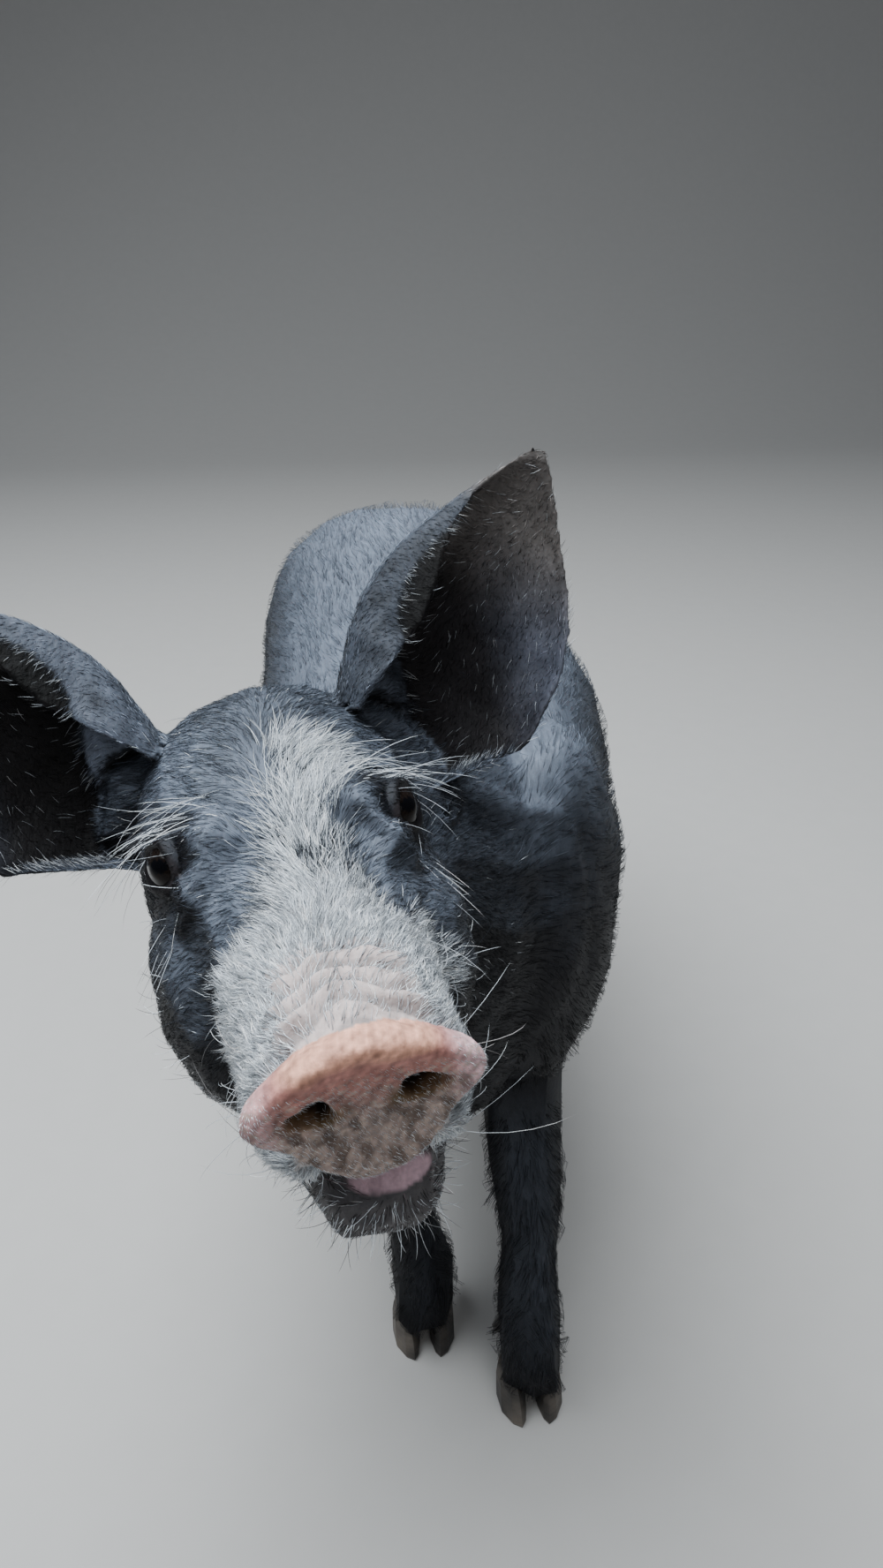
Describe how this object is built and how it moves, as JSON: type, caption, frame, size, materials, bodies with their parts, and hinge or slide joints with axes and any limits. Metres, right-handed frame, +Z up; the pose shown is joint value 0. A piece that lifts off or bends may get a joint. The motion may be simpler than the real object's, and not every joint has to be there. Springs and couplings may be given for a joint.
{
  "type": "pig",
  "caption": "Still life-size model of a young black domestic pig with a white blaze, standing with its head raised and turned, ears pricked.",
  "frame": {"origin": "on the floor, under the middle of the model's bounding box", "axes": "+Z up; the pig faces -Y, and +X is towards its own left side"},
  "size_m": [0.4014, 0.9092, 0.6264],
  "materials": {
    "coat": "short slate-black hair with a low sheen over dark skin, white on the muzzle and blaze",
    "snout_skin": "bare moist pink skin, dusty below",
    "horn": "dull dark horn",
    "eye": "wet, dark brown, glossy"
  },
  "bodies": {
    "root": {"claw_fore_left_inner": "horn", "claw_fore_left_outer": "horn", "claw_fore_right_inner": "horn", "claw_fore_right_outer": "horn", "claw_hind_left_inner": "horn", "claw_hind_left_outer": "horn", "claw_hind_right_inner": "horn", "claw_hind_right_outer": "horn", "dewclaw_fore_left_inner": "horn", "dewclaw_fore_left_outer": "horn", "dewclaw_fore_right_inner": "horn", "dewclaw_fore_right_outer": "horn", "dewclaw_hind_left_inner": "horn", "dewclaw_hind_left_outer": "horn", "dewclaw_hind_right_inner": "horn", "dewclaw_hind_right_outer": "horn", "ear_left": "coat", "ear_right": "coat", "eye_left": "eye", "eye_right": "eye", "foreleg_left": "coat", "foreleg_right": "coat", "head": "coat", "hind_leg_left": "coat", "hind_leg_right": "coat", "neck": "coat", "snout": "snout_skin", "tail_root": "coat", "trunk": "coat"}
  },
  "joints": []
}
